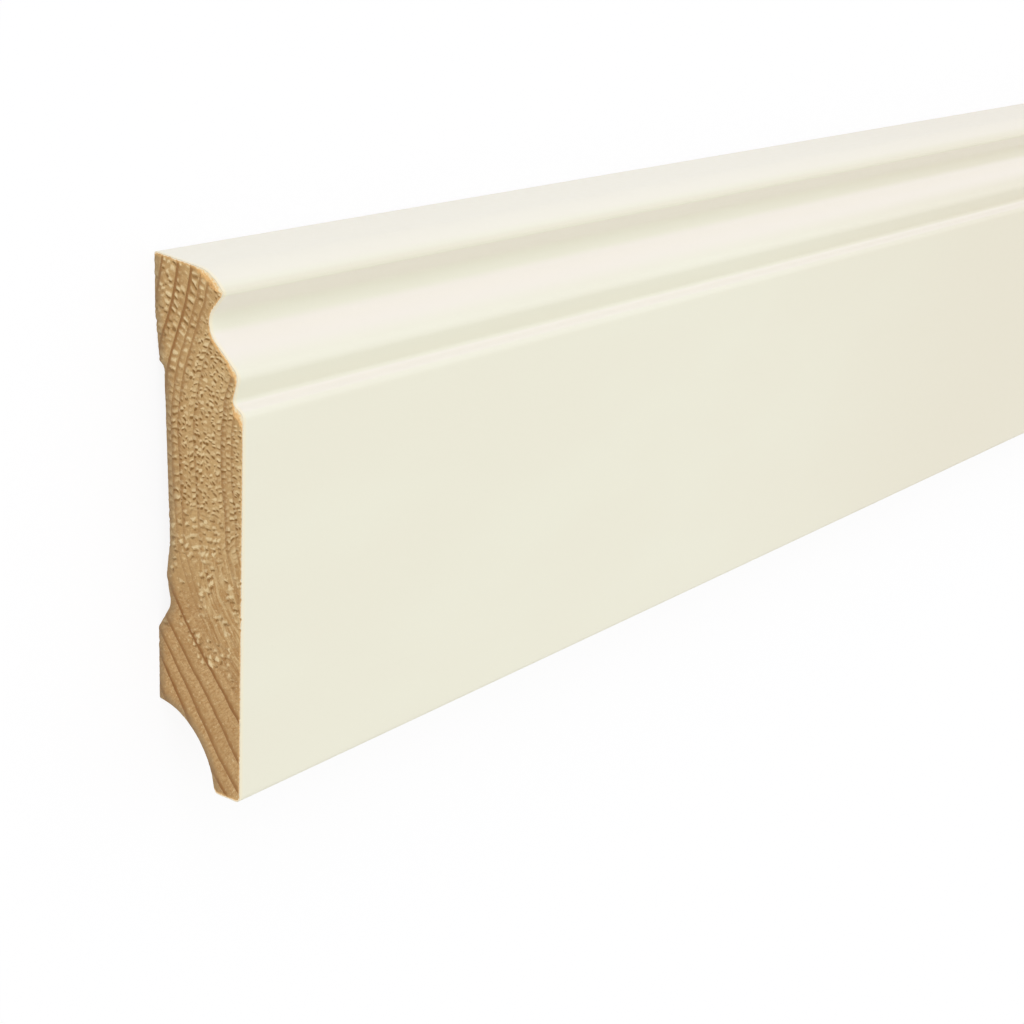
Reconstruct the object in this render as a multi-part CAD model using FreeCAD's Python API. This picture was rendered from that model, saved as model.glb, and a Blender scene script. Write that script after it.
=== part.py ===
import FreeCAD, Part
import math
import os

# One length of painted softwood skirting, cut from one stick.
# It lies on its back on the floor. X runs along the length, Y runs from the foot to the top edge
# and Z runs from the back plane, on the floor at zero, to the painted face. All sizes are in mm.

LENGTH = 2400.0
HEIGHT = 80.0
THICKNESS = 19.0

# Painted side, worked down from the top edge.
TOP_FLAT = 9.5            # level strip along the top, counted from the back plane
NOSE_RADIUS = 6.7         # big round at the front of the top
NOSE_SWEEP = 49.0         # degrees of that round before its tip
NOSE_STRAIGHT = 1.0       # short flat between the big round and the tip
TIP_RADIUS = 0.55
UNDERCUT_FALL = 1.15      # gap in height between the tip and the cove under it
COVE_RADIUS = 2.9
COVE_DEPTH = 7.1          # deepest point of the cove behind the flat face
OGEE_FALL = 2.0           # gap in height between the cove and the bulge under it
BULGE_RADIUS = 1.6
BULGE_SETBACK = 1.2       # front of the bulge behind the flat face
GROOVE_FALL = 0.6         # gap in height between the bulge and the groove under it
GROOVE_RADIUS = 0.9
GROOVE_DEPTH = 2.05       # deepest point of the groove behind the flat face
BEAD_STEP = 0.12          # gap in height between the groove and the bead under it
BEAD_RADIUS = 1.3         # round from the groove onto the flat face

# Foot, and the cable channel cut out behind it.
FOOT_WIDTH = 6.1
FOOT_FRONT_RADIUS = 1.1
FOOT_LIFT = 0.7           # how much higher the foot ends at the painted face
FOOT_BACK_RADIUS = 0.85
CHANNEL_RADIUS = 11.6
CHANNEL_CENTRE_DROP = 1.0  # centre of the channel's round under the foot
CHANNEL_RUN = 0.02         # gap that leaves a short straight at both ends of the round
LAND_EDGE_RADIUS = 0.3

# Back, two lands that touch the wall and a shallow relief between them.
TOP_EDGE_RADIUS = 0.55
TOP_LAND = 8.0            # height of the upper land
TOP_TAPER = 7.2           # height over which the upper land falls away to the relief
TAPER_DEPTH = 0.8
TAPER_ROUND = 6.0
SHOULDER_RADIUS = 0.4
SHOULDER_FALL = 0.7
RELIEF_DEPTH = 1.9        # depth of the relief at its upper end
FLOOR_RADIUS = 0.5
LOWER_LAND = 11.5         # height of the lower land
LOWER_LAND_ROUND = 1.2
FLUTE_DEPTH = 2.85        # two shallow flutes run along the lower part of the relief
FLUTE_RADIUS = 2.6
LOW_FLUTE_RISE = 5.6      # low flute above the lower land
RIDGE_DEPTH = 2.05
RIDGE_RADIUS = 2.6
RIDGE_RISE = 4.1          # ridge above the low flute
HIGH_FLUTE_RISE = 5.9     # high flute above the ridge


# A round is one circle that the outline bends about. A positive radius bends about wood and a
# negative one about a hollow. Its place is given as distance from the back plane and height.
def bump(back, height, radius):
    return (back, height, radius)


def hollow(back, height, radius):
    return (back, height, -radius)


def front_rounds():
    nose_back = TOP_FLAT
    nose_height = HEIGHT - NOSE_RADIUS
    reach = math.hypot(NOSE_RADIUS - TIP_RADIUS, NOSE_STRAIGHT)
    sweep = math.radians(NOSE_SWEEP)
    tip_back = nose_back + reach * math.sin(sweep)
    tip_height = nose_height + reach * math.cos(sweep)
    cove_height = tip_height - TIP_RADIUS - UNDERCUT_FALL - COVE_RADIUS
    bulge_height = cove_height - COVE_RADIUS - OGEE_FALL - BULGE_RADIUS
    groove_height = bulge_height - BULGE_RADIUS - GROOVE_FALL - GROOVE_RADIUS
    bead_height = groove_height - GROOVE_RADIUS - BEAD_STEP - BEAD_RADIUS
    return [
        bump(THICKNESS - FOOT_FRONT_RADIUS, FOOT_LIFT + FOOT_FRONT_RADIUS, FOOT_FRONT_RADIUS),
        bump(THICKNESS - BEAD_RADIUS, bead_height, BEAD_RADIUS),
        hollow(THICKNESS - GROOVE_DEPTH + GROOVE_RADIUS, groove_height, GROOVE_RADIUS),
        bump(THICKNESS - BULGE_SETBACK - BULGE_RADIUS, bulge_height, BULGE_RADIUS),
        hollow(THICKNESS - COVE_DEPTH + COVE_RADIUS, cove_height, COVE_RADIUS),
        bump(tip_back, tip_height, TIP_RADIUS),
        bump(nose_back, nose_height, NOSE_RADIUS),
    ]


def channel_rounds():
    foot = bump(THICKNESS - FOOT_WIDTH + FOOT_BACK_RADIUS, FOOT_BACK_RADIUS, FOOT_BACK_RADIUS)
    rise = FOOT_BACK_RADIUS + CHANNEL_CENTRE_DROP
    reach = CHANNEL_RADIUS + FOOT_BACK_RADIUS + CHANNEL_RUN
    centre_back = foot[0] - math.sqrt(reach ** 2 - rise ** 2)
    channel = hollow(centre_back, -CHANNEL_CENTRE_DROP, CHANNEL_RADIUS)
    reach = CHANNEL_RADIUS + LAND_EDGE_RADIUS + CHANNEL_RUN
    aside = centre_back - LAND_EDGE_RADIUS
    edge_height = math.sqrt(reach ** 2 - aside ** 2) - CHANNEL_CENTRE_DROP
    edge = bump(LAND_EDGE_RADIUS, edge_height, LAND_EDGE_RADIUS)
    return [edge, channel, foot]


def back_rounds(land_foot):
    taper_end = HEIGHT - TOP_LAND - TOP_TAPER
    land_head = land_foot + LOWER_LAND
    low_flute = land_head + LOW_FLUTE_RISE
    ridge = low_flute + RIDGE_RISE
    high_flute = ridge + HIGH_FLUTE_RISE
    floor_height = taper_end - SHOULDER_FALL - FLOOR_RADIUS
    return [
        bump(TOP_EDGE_RADIUS, HEIGHT - TOP_EDGE_RADIUS, TOP_EDGE_RADIUS),
        bump(TAPER_ROUND, HEIGHT - TOP_LAND, TAPER_ROUND),
        bump(TAPER_DEPTH + SHOULDER_RADIUS, taper_end, SHOULDER_RADIUS),
        hollow(RELIEF_DEPTH - FLOOR_RADIUS, floor_height, FLOOR_RADIUS),
        hollow(FLUTE_DEPTH - FLUTE_RADIUS, high_flute, FLUTE_RADIUS),
        bump(RIDGE_DEPTH + RIDGE_RADIUS, ridge, RIDGE_RADIUS),
        hollow(FLUTE_DEPTH - FLUTE_RADIUS, low_flute, FLUTE_RADIUS),
        bump(LOWER_LAND_ROUND, land_head, LOWER_LAND_ROUND),
    ]


def outward(here, there):
    """Direction out of the wood on the straight that touches both rounds, going from here to there."""
    along, up = there[0] - here[0], there[1] - here[1]
    gap = math.hypot(along, up)
    lean = math.acos((here[2] - there[2]) / gap)
    angle = math.atan2(up, along) - lean
    return (math.cos(angle), math.sin(angle))


def place(back, height):
    return FreeCAD.Vector(-LENGTH / 2, height - HEIGHT / 2, back)


def touch(round_, out):
    return place(round_[0] + round_[2] * out[0], round_[1] + round_[2] * out[1])


def outline(rounds):
    count = len(rounds)
    outs = [outward(rounds[i], rounds[(i + 1) % count]) for i in range(count)]
    edges = []
    for i in range(count):
        out_in, out_on = outs[i - 1], outs[i]
        middle = (out_in[0] + out_on[0], out_in[1] + out_on[1])
        size = math.hypot(*middle)
        middle = (middle[0] / size, middle[1] / size)
        start, end = touch(rounds[i], out_in), touch(rounds[i], out_on)
        edges.append(Part.Arc(start, touch(rounds[i], middle), end).toShape())
        following = touch(rounds[(i + 1) % count], out_on)
        edges.append(Part.LineSegment(end, following).toShape())
    return Part.Wire(edges)


def skirting_board():
    channel = channel_rounds()
    land_foot = channel[0][1]
    wire = outline(front_rounds() + back_rounds(land_foot) + channel)
    return Part.Face(wire).extrude(FreeCAD.Vector(LENGTH, 0, 0))


def main():
    os.makedirs("parts", exist_ok=True)
    skirting_board().exportStep("parts/skirting_board.step")


main()
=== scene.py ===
import itertools
import math

import bpy
import numpy as np
from mathutils import Matrix, Vector
from mathutils.geometry import delaunay_2d_cdt


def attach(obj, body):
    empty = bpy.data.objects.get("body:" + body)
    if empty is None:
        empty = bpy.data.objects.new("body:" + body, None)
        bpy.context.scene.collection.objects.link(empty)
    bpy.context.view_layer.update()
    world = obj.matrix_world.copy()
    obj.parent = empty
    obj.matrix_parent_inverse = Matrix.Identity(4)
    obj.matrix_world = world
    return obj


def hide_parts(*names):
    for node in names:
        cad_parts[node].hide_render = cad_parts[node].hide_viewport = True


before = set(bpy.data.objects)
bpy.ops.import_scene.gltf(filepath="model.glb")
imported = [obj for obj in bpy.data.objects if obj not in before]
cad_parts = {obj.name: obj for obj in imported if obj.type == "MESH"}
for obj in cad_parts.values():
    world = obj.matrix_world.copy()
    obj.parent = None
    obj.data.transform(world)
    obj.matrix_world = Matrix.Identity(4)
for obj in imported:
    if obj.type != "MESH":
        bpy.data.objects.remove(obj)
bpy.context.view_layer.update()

# One length of machined softwood skirting, lacquered cream on its face, top and foot, and bare on
# its back and its two sawn ends. Sizes are in mm here and become metres where the mesh is made.
MM = 0.001

# The section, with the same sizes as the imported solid.
LENGTH, HEIGHT, THICKNESS = 2400.0, 80.0, 19.0
TOP_FLAT, NOSE_RADIUS, NOSE_SWEEP, NOSE_STRAIGHT = 9.5, 6.7, 49.0, 1.0
TIP_RADIUS, UNDERCUT_FALL = 0.55, 1.15
COVE_RADIUS, COVE_DEPTH, OGEE_FALL = 2.9, 7.1, 2.0
BULGE_RADIUS, BULGE_SETBACK = 1.6, 1.2
GROOVE_FALL, GROOVE_RADIUS, GROOVE_DEPTH = 0.6, 0.9, 2.05
BEAD_STEP, BEAD_RADIUS = 0.12, 1.3
FOOT_WIDTH, FOOT_FRONT_RADIUS, FOOT_LIFT, FOOT_BACK_RADIUS = 6.1, 1.1, 0.7, 0.85
CHANNEL_RADIUS, CHANNEL_CENTRE_DROP, CHANNEL_RUN, LAND_EDGE_RADIUS = 11.6, 1.0, 0.02, 0.3
TOP_EDGE_RADIUS, TOP_LAND, TOP_TAPER, TAPER_DEPTH, TAPER_ROUND = 0.55, 8.0, 7.2, 0.8, 6.0
SHOULDER_RADIUS, SHOULDER_FALL, RELIEF_DEPTH, FLOOR_RADIUS = 0.4, 0.7, 1.9, 0.5
LOWER_LAND, LOWER_LAND_ROUND = 11.5, 1.2
FLUTE_DEPTH, FLUTE_RADIUS, LOW_FLUTE_RISE = 2.85, 2.6, 5.6
RIDGE_DEPTH, RIDGE_RADIUS, RIDGE_RISE, HIGH_FLUTE_RISE = 2.05, 2.6, 4.1, 5.9

# Mesh spacing.
OUTLINE_STEP = 0.30  # along the section's outline
OUTLINE_TURN = 9.0  # most degrees of a round in one step
END_GRID = 0.25  # across a sawn end
GRID_UNEVEN = 0.22  # how unevenly that grid lies, as a share of its spacing
EDGE_GAP = 0.16  # least gap from a sawn end's outline to the grid inside it
MERGE_GAP = 1e-6
FIRST_STEP = 0.12  # first step along the stick from a sawn end
STEP_GROWTH, END_STEPS = 1.45, 17
LAST_STEP = 52.0  # along the middle of the stick
RAGGED_ROWS = 4  # rows of the skin behind a sawn arris that follow its nicks

# A patch of the bake map is where it starts across, its width, where it starts up and its height.
SKIN_PATCH = (0.46, 0.53, 0.005, 0.99)
# A sawn end is its place along the stick, its way into the board, its seed and its patch.
NEAR_END = (0.0, 1, 100, (0.01, 0.21, 0.02, 0.94))
FAR_END = (LENGTH, -1, 700, (0.235, 0.21, 0.02, 0.94))
COATED, BARE = 0, 1  # the mesh's two materials
CLEAR = 9.0  # a gap too wide for the finish to show anything

# Growth rings. The pith lies in front of the painted face.
PITH_BACK, PITH_HEIGHT = 60.4, 57.3
# A wave of the rings up the height is its size, its length and the height of one crest.
SLOW_WAVE, QUICK_WAVE = (1.83, 66.9, 39.0), (0.67, 29.7, 2.4)
RING_LINES = (39.8, 44.0, 46.1, 52.0, 55.5, 57.0, 59.0, 61.8, 66.4, 70.2, 73.4, 77.0, 80.8)
RING_STRENGTHS = (0.5, 0.45, 0.6, 0.40, 0.60, 0.52, 1.0, 1.0, 0.85, 0.82, 1.0, 0.8, 0.8)
DRIFT_BACK, DRIFT_HEIGHT = 3.0, 2.2  # how far the pith wanders along the stick
DRIFT_RUN, DRIFT_SWING, DRIFT_CLIMB = 1500.0, 0.37, 0.61
RIPPLE, RIPPLE_WIDTH, RIPPLE_RUN, RIPPLE_SEED = 0.30, 4.5, 4.0, 3
# The outer rings lie closer by the top. Limits are where a change starts and where it is full.
CROWD, CROWD_RADIUS, CROWD_HEIGHT = 1.4, (62.0, 65.0), (62.0, 74.0)
# Inner lines fade lower down, and the outermost of those fades further.
FAINT, FAINT_RADIUS, FAINT_HEIGHT = 0.40, (59.5, 60.5), (38.0, 47.0)
LOST, LOST_RADIUS = 0.45, (57.5, 58.5)
TURN_RADIUS = 58.0  # where the distance round the ring is true

# The fuzz of lifted fibres and lacquer along a sawn arris, widest on rounds that face up, where its
# extra pale and gold width is painted highlight.
RIM_LEAST, RIM_TOP, RIM_FACE, RIM_SWELLING = 0.52, 0.05, 0.20, 0.85
UPWARDS, FORWARDS = (0.0, 0.6), (0.0, 0.3)  # how far the outline faces up, and to the painted side
SWELL_REACH = 3  # points of the outline that a swelling spreads to
SMALL_ROUND, SMALL_SWELL = 1.5, 2.1  # tight rounds are the most frayed
# The coat's edges lie this far past the start of the rear rounds of the top and the foot.
PAINT_PAST_TOP, PAINT_PAST_FOOT = 0.6, 0.5
PAINT_REACH = 3.0  # how far into the coat the gap to its edge is told

# The sawn ends from top to foot: wide torn chips in the outer rings, fine scales, coarse chips,
# streaks by the face, and a smooth cut with hatching. Two limits are start and full, and four are
# start, full, last full and end.
WIDE_HEIGHT, WIDE_RADIUS = (59.0, 66.0), (53.5, 55.0)
FINE_HEIGHT = (36.0, 43.0)
COARSE_HEIGHT, COARSE_BACK = (35.0, 37.5, 43.5, 46.0), (13.0, 15.5)
STREAK_HEIGHT, STREAK_BACK, STREAK_OVER_SMOOTH = (20.0, 25.0, 38.5, 41.0), (8.0, 10.5), 0.7
SMOOTH_HEIGHT = (27.5, 32.5)
SCATTER_HEIGHT, SCATTER_PATCH = (15.0, 22.0, 38.0, 44.0), (-0.22, 0.14)
CALM_LEAST, CALM_MORE, CALM_PATCH = 0.5, 0.5, (-0.5, 0.1)
WIDE_CHIP, WIDE_PITCH = 1.75, 1.20
COARSE_WIDTH, COARSE_PITCH = 1.55, 1.15
SCALE_WIDTH, SCALE_PITCH = 1.05, 1.18
SPOT_WIDTH, SPOT_PITCH = 0.98, 1.00
LADDER_SEED, COARSE_SEED, NICK_SEED, GRID_SEED = 20, 30, 70, 200
# Noise over a sawn end is its width, its height, its seed and its layers.
ZONE_NOISE, PATCH_NOISE, CALM_NOISE = (5.0, 7.0, 40, 3), (2.0, 2.4, 44, 2), (3.5, 3.5, 47, 2)
FRAY_NOISE, WEAR_NOISE = (0.35, 0.35, 50, 2), (0.7, 0.7, 60, 3)
ZONE_DRIFT = 2.5  # how far the borders between the kinds of cut wander

# Relief of a sawn end in mm, how much painted shadow its pits and painted highlight its lips get, and
# its random tone.
WIDE_PIT, WIDE_LIP, COARSE_PIT, COARSE_LIP = 0.20, 0.12, 0.16, 0.14
WIDE_SHADOW, COARSE_SHADOW, COARSE_LIT, FRAY_TONE = 1.2, 0.92, 0.95, 0.16
LINE_AHEAD, LINE_PAST = (-0.75, -0.2), (0.0, 0.25)  # a ring line's hard wood, before and after it
LINE_CLEAR = (0.2, 0.6)  # no chips where a line is this strong
LINE_PROUD, FRAY_DEPTH = 0.030, 0.030
RIM_INSIDE, RIM_PROUD, RIM_UNEVEN, RIM_CALM = (0.3, 1.0), 0.04, 0.025, 0.5
WORN_EDGE, WORN_DEPTH = (0.0, 0.45), 0.10
CUT_BACK = 0.08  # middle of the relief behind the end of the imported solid
ARRIS_SHARE, NICK_RUN, NICK_DEPTH, NICK_MOST = 0.5, 0.8, 0.08, 0.30

# The camera's place and aim, and its roll about its own axis.
CAMERA_PLACE = (-1338.52, 100.64, 184.65)
CAMERA_AIM = (-1143.15, -7.59, 19.0)
CAMERA_ROLL = -112.64
FOCAL_PIXELS, PICTURE_PIXELS = 1698.3, 1024.0
SENSOR_WIDTH = 36.0
CLIP_NEAR, CLIP_FAR = 0.005, 60.0  # m


# A round is its place from the back and up, and its radius, which is negative about a hollow.
def front_rounds():
    nose_height = HEIGHT - NOSE_RADIUS
    reach = math.hypot(NOSE_RADIUS - TIP_RADIUS, NOSE_STRAIGHT)
    sweep = math.radians(NOSE_SWEEP)
    tip_back = TOP_FLAT + reach * math.sin(sweep)
    tip_height = nose_height + reach * math.cos(sweep)
    cove_height = tip_height - TIP_RADIUS - UNDERCUT_FALL - COVE_RADIUS
    bulge_height = cove_height - COVE_RADIUS - OGEE_FALL - BULGE_RADIUS
    groove_height = bulge_height - BULGE_RADIUS - GROOVE_FALL - GROOVE_RADIUS
    bead_height = groove_height - GROOVE_RADIUS - BEAD_STEP - BEAD_RADIUS
    return [
        (THICKNESS - FOOT_FRONT_RADIUS, FOOT_LIFT + FOOT_FRONT_RADIUS, FOOT_FRONT_RADIUS),
        (THICKNESS - BEAD_RADIUS, bead_height, BEAD_RADIUS),
        (THICKNESS - GROOVE_DEPTH + GROOVE_RADIUS, groove_height, -GROOVE_RADIUS),
        (THICKNESS - BULGE_SETBACK - BULGE_RADIUS, bulge_height, BULGE_RADIUS),
        (THICKNESS - COVE_DEPTH + COVE_RADIUS, cove_height, -COVE_RADIUS),
        (tip_back, tip_height, TIP_RADIUS),
        (TOP_FLAT, nose_height, NOSE_RADIUS),
    ]


def channel_rounds():
    foot = (THICKNESS - FOOT_WIDTH + FOOT_BACK_RADIUS, FOOT_BACK_RADIUS, FOOT_BACK_RADIUS)
    rise = FOOT_BACK_RADIUS + CHANNEL_CENTRE_DROP
    reach = CHANNEL_RADIUS + FOOT_BACK_RADIUS + CHANNEL_RUN
    centre_back = foot[0] - math.sqrt(reach**2 - rise**2)
    channel = (centre_back, -CHANNEL_CENTRE_DROP, -CHANNEL_RADIUS)
    reach = CHANNEL_RADIUS + LAND_EDGE_RADIUS + CHANNEL_RUN
    aside = centre_back - LAND_EDGE_RADIUS
    edge_height = math.sqrt(reach**2 - aside**2) - CHANNEL_CENTRE_DROP
    return [(LAND_EDGE_RADIUS, edge_height, LAND_EDGE_RADIUS), channel, foot]


def back_rounds(land_foot):
    taper_end = HEIGHT - TOP_LAND - TOP_TAPER
    land_head = land_foot + LOWER_LAND
    low_flute = land_head + LOW_FLUTE_RISE
    ridge = low_flute + RIDGE_RISE
    high_flute = ridge + HIGH_FLUTE_RISE
    floor_height = taper_end - SHOULDER_FALL - FLOOR_RADIUS
    return [
        (TOP_EDGE_RADIUS, HEIGHT - TOP_EDGE_RADIUS, TOP_EDGE_RADIUS),
        (TAPER_ROUND, HEIGHT - TOP_LAND, TAPER_ROUND),
        (TAPER_DEPTH + SHOULDER_RADIUS, taper_end, SHOULDER_RADIUS),
        (RELIEF_DEPTH - FLOOR_RADIUS, floor_height, -FLOOR_RADIUS),
        (FLUTE_DEPTH - FLUTE_RADIUS, high_flute, -FLUTE_RADIUS),
        (RIDGE_DEPTH + RIDGE_RADIUS, ridge, RIDGE_RADIUS),
        (FLUTE_DEPTH - FLUTE_RADIUS, low_flute, -FLUTE_RADIUS),
        (LOWER_LAND_ROUND, land_head, LOWER_LAND_ROUND),
    ]


def outward_angle(here, there):
    """Direction out of the wood on the straight that touches both rounds."""
    along, up = there[0] - here[0], there[1] - here[1]
    lean = math.acos((here[2] - there[2]) / math.hypot(along, up))
    return math.atan2(up, along) - lean


def on_round(centre, angle):
    return (centre[0] + centre[2] * math.cos(angle), centre[1] + centre[2] * math.sin(angle))


def traced(rounds):
    """Rows of back, height, both parts of the way out, and swelling, and where each round starts."""
    rows, starts = [], []
    for k, here in enumerate(rounds):
        after = rounds[(k + 1) % len(rounds)]
        start, stop = outward_angle(rounds[k - 1], here), outward_angle(here, after)
        sweep = (stop - start + math.pi) % (2 * math.pi) - math.pi  # at most half a turn either way
        swell = 0.0 if here[2] < 0 else SMALL_SWELL if here[2] < SMALL_ROUND else 1.0
        starts.append(len(rows))
        steps = max(2, math.ceil(abs(sweep * here[2]) / OUTLINE_STEP),
                    math.ceil(abs(math.degrees(sweep)) / OUTLINE_TURN))
        for i in range(steps):
            angle = start + sweep * i / steps
            rows.append((*on_round(here, angle), math.cos(angle), math.sin(angle), swell))
        begin, end = on_round(here, stop), on_round(after, stop)
        steps = max(1, round(math.dist(begin, end) / OUTLINE_STEP))
        for i in range(steps):
            back, height = (a + (b - a) * (i / steps) for a, b in zip(begin, end))
            rows.append((back, height, math.cos(stop), math.sin(stop), 0.0))
    return np.array(rows), starts


def spread(share):
    """The greatest share near each point of the outline, eased in and out along it."""
    shifts = range(-SWELL_REACH, SWELL_REACH + 1)
    greatest = np.max([np.roll(share, k) for k in shifts], 0)
    return np.mean([np.roll(greatest, k) for k in shifts], 0)


class Outline:
    """The section's outline as points, up the face, over the top and down the back."""

    def __init__(self):
        channel, front = channel_rounds(), front_rounds()
        rows, starts = traced(front + back_rounds(channel[0][1]) + channel)
        self.points = rows[:, :2]
        steps = np.linalg.norm(np.roll(self.points, -1, 0) - self.points, axis=1)
        self.run = np.concatenate([[0.0], np.cumsum(steps)[:-1]])
        self.shares = np.append(self.run / steps.sum(), 1.0)
        paint_top = self.run[starts[len(front)]] + PAINT_PAST_TOP
        paint_foot = self.run[starts[-1]] + PAINT_PAST_FOOT
        past = np.minimum(self.run - paint_top, paint_foot - self.run)
        self.bare = past > 0
        self.past_paint = np.maximum(past, -PAINT_REACH)
        lit, facing = ramp(rows[:, 3], *UPWARDS), ramp(rows[:, 2], *FORWARDS)
        swell = spread(rows[:, 4] * lit * facing)
        self.rim_width = RIM_LEAST + lit * (RIM_TOP + facing * RIM_FACE) + RIM_SWELLING * swell


# Repeatable noise. Each call names its own seed, so a run always gives the same board.
HASH_ACROSS, HASH_UP, HASH_SEED, HASH_MOST = 374761393, 668265263, 2147483647, 0xFFFFFFFF
HASH_STEPS = ((13, 1274126177), (16, 1))  # shift and factor


def hashed(i, j, seed):
    """A value from 0 to 1 for each pair of whole numbers."""
    n = np.asarray(i, np.int64) * HASH_ACROSS + np.asarray(j, np.int64) * HASH_UP + seed * HASH_SEED
    for shift, factor in HASH_STEPS:
        n = ((n ^ (n >> shift)) * factor) & HASH_MOST
    return n / HASH_MOST


def eased(share):
    return share * share * (3 - 2 * share)


def ramp(value, low, high):
    """From 0 at the low limit to 1 at the high one."""
    return eased(np.clip((value - low) / (high - low), 0, 1))


def fall(value, low, high):
    """From 1 at the low limit to 0 at the high one."""
    return ramp(-value, -high, -low)


def band(value, start, full, last, end):
    return ramp(value, start, full) * fall(value, last, end)


def smooth_noise(x, y, seed):
    """Value noise from -1 to 1 with a period of one unit."""
    i, j = np.floor(x).astype(int), np.floor(y).astype(int)
    u, v = eased(x - i), eased(y - j)
    low = hashed(i, j, seed) * (1 - u) + hashed(i + 1, j, seed) * u
    high = hashed(i, j + 1, seed) * (1 - u) + hashed(i + 1, j + 1, seed) * u
    return 2 * (low * (1 - v) + high * v) - 1


def layered_noise(x, y, seed, layers=3):
    total, size, weight = np.zeros_like(x), 0.0, 1.0
    for layer in range(layers):
        total = total + weight * smooth_noise(x * 2**layer, y * 2**layer, seed + layer)
        size += weight
        weight *= 0.5
    return total / size


def wave(height, size, length, crest):
    return size * np.cos(2 * math.pi * (height - crest) / length)


def growth(along, back, height):
    """Ring radius in mm and distance round the ring, for places in the stick."""
    wander = 2 * math.pi * along / DRIFT_RUN
    centre_back = PITH_BACK + DRIFT_BACK * np.sin(wander) * np.cos(DRIFT_SWING * wander)
    centre_height = PITH_HEIGHT + DRIFT_HEIGHT * np.sin(DRIFT_CLIMB * wander)
    radius = np.hypot(back - centre_back, height - centre_height)
    radius = radius - wave(height, *SLOW_WAVE) - wave(height, *QUICK_WAVE)
    arc = TURN_RADIUS * np.arctan2(height - centre_height, centre_back - back)
    ripple = layered_noise(radius / RIPPLE_WIDTH, arc / RIPPLE_RUN, RIPPLE_SEED, 2)
    crowd = ramp(radius, *CROWD_RADIUS) * ramp(height, *CROWD_HEIGHT)
    return radius + RIPPLE * ripple + CROWD * crowd, arc


def rings(radius, height):
    """Whole rings counted outwards with their share, the ring's width and its line's strength."""
    lines = np.array(RING_LINES)
    count = np.interp(radius, lines, np.arange(len(lines)))
    index = np.clip(np.searchsorted(lines, radius) - 1, 0, len(lines) - 2)
    width = lines[index + 1] - lines[index]
    faint = fall(radius, *FAINT_RADIUS) * fall(height, *FAINT_HEIGHT)
    fade = faint * (FAINT + LOST * ramp(radius, *LOST_RADIUS))
    return count, width, np.array(RING_STRENGTHS)[index + 1] * (1 - fade)


# Scattered chips, in cells one unit wide: a wedge with a lip in painted highlight, and the hole under it
# in painted shadow.
CELL_BEND, CELL_BEND_RUN, CELL_STRAY = 0.25, 1.5, 0.8
CHIP_LEAST, CHIP_MORE, CHIP_TILT = 0.75, 0.4, 0.6
WEDGE_WIDE, WEDGE_TALL, WEDGE_RISE, WEDGE_LEAN = 0.52, 0.36, 0.10, 0.25
WEDGE_MIDDLE, WEDGE_TAPER, WEDGE_LEAST, WEDGE_TURNED = 0.62, 0.55, 0.08, 0.35
HOLE_WIDE, HOLE_TALL, HOLE_DROP = 0.44, 0.18, 0.30
WEDGE_EDGE, HOLE_EDGE, HOLE_RARE = (0.75, 1.10), (0.6, 1.15), (0.0, 0.5)
LIP_LEAST, LIP_MORE = 0.35, 0.65


def torn_cells(across, up, seed):
    """Chips scattered over cells: how deep the pit is, and how strong the lip above it is; these also
    set their painted shadow and painted highlight.
    """
    bent = CELL_BEND * smooth_noise(across / CELL_BEND_RUN, up / CELL_BEND_RUN, seed)
    a, b = across + bent, up + bent
    pit, lip = np.zeros(a.shape), np.zeros(a.shape)
    for di, dj in itertools.product((-1, 0, 1), repeat=2):
        i, j = np.floor(a).astype(int) + di, np.floor(b).astype(int) + dj
        first, second, third, fourth, fifth, sixth = (hashed(i, j, seed + k) for k in range(1, 7))
        da = a - i - 0.5 - CELL_STRAY * (fourth - 0.5)
        db = b - j - 0.5 - CELL_STRAY * (fifth - 0.5)
        size = CHIP_LEAST + CHIP_MORE * first
        rise = db + CHIP_TILT * (third - 0.5) * da
        v = (rise - WEDGE_RISE) / (WEDGE_TALL * size)
        taper = WEDGE_TAPER * v * np.where(sixth > WEDGE_TURNED, 1, -1)
        half = WEDGE_WIDE * size * np.clip(WEDGE_MIDDLE + taper, WEDGE_LEAST, 1.0)
        aside = np.abs(da - WEDGE_LEAN * (second - 0.5) * v) / half
        hole = np.hypot(da / (HOLE_WIDE * size), (rise + HOLE_DROP) / (HOLE_TALL * size))
        pit = np.maximum(pit, fall(hole, *HOLE_EDGE) * ramp(second, *HOLE_RARE))
        edge = fall(np.maximum(np.abs(v), aside), *WEDGE_EDGE)
        lip = np.maximum(lip, edge * (LIP_LEAST + LIP_MORE * third))
    return pit, lip * (1 - pit)


# Chips in columns between ring lines, one above another like a ladder's rungs.
COLUMNS, START_SPREAD = 16, 9  # room for a ring's columns, and how differently they start
BEND, BEND_WIDTH, BEND_RUN = 0.34, 0.8, 0.9
WARP, WARP_WIDTH, WARP_RUN = 0.30, 1.3, 1.5
RUNG_LEAN, RUNG_LEVEL = 0.5, 0.3
RUNG_LEAST, RUNG_MORE, RUNG_LEFT, RUNG_STRAY = 0.24, 0.28, 0.30, 0.40
RUNG_BODY, RUNG_HALF, RUNG_SOUND = 1.15, 0.55, (0.0, 0.9)
PIT_INSIDE, PIT_OUTSIDE, PIT_RARE = 0.15, 0.55, (0.15, 0.75)
LIP_AT, LIP_RISE, LIP_END = 0.9, 0.25, (0.72, 1.10)


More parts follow.
